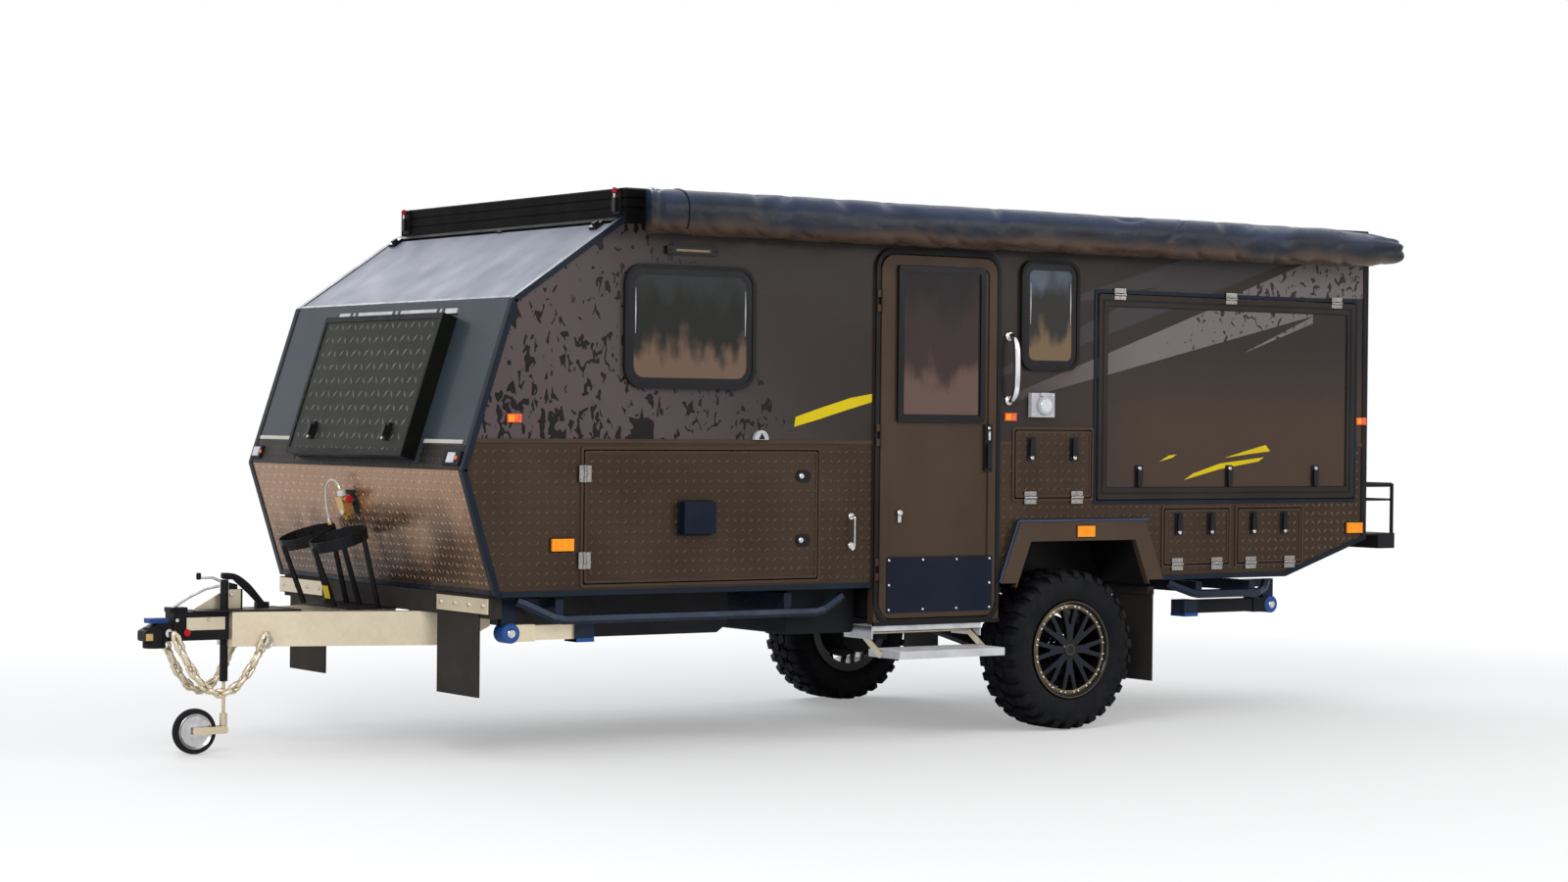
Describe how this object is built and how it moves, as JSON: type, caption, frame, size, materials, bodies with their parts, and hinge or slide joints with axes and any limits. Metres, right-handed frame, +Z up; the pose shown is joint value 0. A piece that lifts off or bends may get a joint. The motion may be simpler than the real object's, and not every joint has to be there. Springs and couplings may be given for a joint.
{
  "type": "hybrid camper trailer",
  "caption": "Off-road hybrid camper trailer with a pop-top roof, opening kitchen and storage hatches, an entry door with fold-out step and an awning bag.",
  "frame": {"origin": "on the ground, under the middle of the outline from above", "axes": "+X to the rear, +Y to the side away from the entry door, +Z up"},
  "size_m": [6.63, 2.38, 2.5],
  "materials": {
    "upper_wall": "satin charcoal paint with printed shapes",
    "tread_plate": "satin coated tread plate",
    "front_skin": "satin grey paint",
    "black_paint": "semi-gloss black",
    "galvanised": "hot-dip galvanised",
    "aluminium": "mill finish",
    "zinc_gold": "zinc plated",
    "rubber": "matte",
    "tyre": "matte",
    "wheel_black": "gloss black",
    "vinyl": "coated cloth",
    "canvas": "woven",
    "tinted": "tinted acrylic",
    "door_skin": "satin",
    "tank": "satin",
    "chrome": "polished",
    "brass": "satin"
  },
  "bodies": {
    "trailer": {"canvas_skirt": "canvas", "chassis_rail_left": "galvanised", "chassis_rail_right": "galvanised", "coupling": "black_paint", "door_frame": "door_skin", "drawbar_left": "galvanised", "drawbar_right": "galvanised", "floor": "black_paint", "front_flaps": "rubber", "front_lower": "tread_plate", "front_slope": "front_skin", "front_steep": "front_skin", "front_window_left": "tinted", "front_window_right": "tinted", "gas_holders": "black_paint", "gas_regulator": "brass", "grab_handle": "chrome", "jockey_jack": "black_paint", "rear_bumper": "black_paint", "rear_flaps": "rubber", "rear_wall": "upper_wall", "roof_frame": "black_paint", "safety_chain_left": "zinc_gold", "safety_chain_right": "zinc_gold", "side_lower_front": "tread_plate", "side_lower_rear": "tread_plate", "side_lower_right": "tread_plate", "side_upper_left": "upper_wall", "side_upper_right": "upper_wall", "small_window": "tinted", "spare_wheel": "tyre", "step_frame": "aluminium", "suspension_left": "black_paint", "suspension_right": "black_paint", "under_bars_front": "black_paint", "under_bars_rear": "black_paint", "under_box": "black_paint", "water_tank": "tank", "wheel_arch_left": "tread_plate", "wheel_arch_right": "tread_plate"},
    "wheel_left": {"tyre_left": "tyre", "rim_left": "wheel_black"},
    "wheel_right": {"tyre_right": "tyre", "rim_right": "wheel_black"},
    "jockey_swivel": {"jockey_fork": "galvanised"},
    "jockey_roller": {"jockey_wheel": "rubber"},
    "door": {"entry_door": "door_skin", "door_window": "tinted"},
    "storage_door_left": {"storage_hatch_left": "tread_plate"},
    "storage_door_right": {"storage_hatch_right": "tread_plate"},
    "table_door": {"table_hatch": "tread_plate"},
    "kitchen_door": {"kitchen_hatch": "tread_plate"},
    "locker_door_front": {"locker_front": "tread_plate"},
    "locker_door_rear": {"locker_rear": "tread_plate"},
    "guard": {"stone_guard": "tread_plate"},
    "roof": {"pop_top": "front_skin", "awning_bag": "vinyl"},
    "step_swing": {"step_arms": "galvanised"},
    "step_plate": {"step_tread": "aluminium"}
  },
  "joints": [
    {"name": "wheel_left_spin", "type": "hinge", "parent": "trailer", "child": "wheel_left", "pos_m": [1.038, -0.8075, 0.388], "axis": [0, 1, 0], "continuous": true},
    {"name": "wheel_right_spin", "type": "hinge", "parent": "trailer", "child": "wheel_right", "pos_m": [1.038, 1.0275, 0.388], "axis": [0, 1, 0], "continuous": true},
    {"name": "jockey_turn", "type": "hinge", "parent": "trailer", "child": "jockey_swivel", "pos_m": [-2.928, 0.11, 0.2], "axis": [0, 0, 1], "continuous": true},
    {"name": "jockey_spin", "type": "hinge", "parent": "jockey_swivel", "child": "jockey_roller", "pos_m": [-3.065, 0.11, 0.1], "axis": [0, 1, 0], "continuous": true},
    {"name": "entry_door_swing", "type": "hinge", "parent": "trailer", "child": "door", "pos_m": [-0.146, -0.968, 1.414], "axis": [0, 0, -1], "range_deg": [0, 165]},
    {"name": "storage_left_swing", "type": "hinge", "parent": "trailer", "child": "storage_door_left", "pos_m": [-1.725, -0.95, 1.056], "axis": [0, 0, -1], "range_deg": [0, 110]},
    {"name": "storage_right_swing", "type": "hinge", "parent": "trailer", "child": "storage_door_right", "pos_m": [-1.725, 1.17, 1.056], "axis": [0, 0, 1], "range_deg": [0, 110]},
    {"name": "table_drop", "type": "hinge", "parent": "trailer", "child": "table_door", "pos_m": [0.898, -0.95, 1.126], "axis": [1, 0, 0], "range_deg": [0, 90]},
    {"name": "locker_front_drop", "type": "hinge", "parent": "trailer", "child": "locker_door_front", "pos_m": [1.8245, -0.95, 0.791], "axis": [1, 0, 0], "range_deg": [0, 95]},
    {"name": "locker_rear_drop", "type": "hinge", "parent": "trailer", "child": "locker_door_rear", "pos_m": [2.319, -0.95, 0.791], "axis": [1, 0, 0], "range_deg": [0, 95]},
    {"name": "kitchen_lift", "type": "hinge", "parent": "trailer", "child": "kitchen_door", "pos_m": [2.036, -0.95, 2.114], "axis": [-1, 0, 0], "range_deg": [0, 90]},
    {"name": "guard_lift", "type": "hinge", "parent": "trailer", "child": "guard", "pos_m": [-2.12162, 0.08, 1.93534], "axis": [0, 1, 0], "range_deg": [0, 75]},
    {"name": "roof_raise", "type": "slide", "parent": "trailer", "child": "roof", "axis": [0, 0, 1], "range_m": [0, 0.45]},
    {"name": "step_fold", "type": "hinge", "parent": "trailer", "child": "step_swing", "pos_m": [0.155, -0.84, 0.5], "axis": [1, 0, 0], "range_deg": [0, 114]},
    {"name": "step_level", "type": "hinge", "parent": "step_swing", "child": "step_plate", "pos_m": [0.155, -0.98, 0.41], "axis": [-1, 0, 0], "range_deg": [0, 114]}
  ],
  "couplings": [
    {"joint": "step_level", "follows": "step_fold", "ratio": 1}
  ]
}
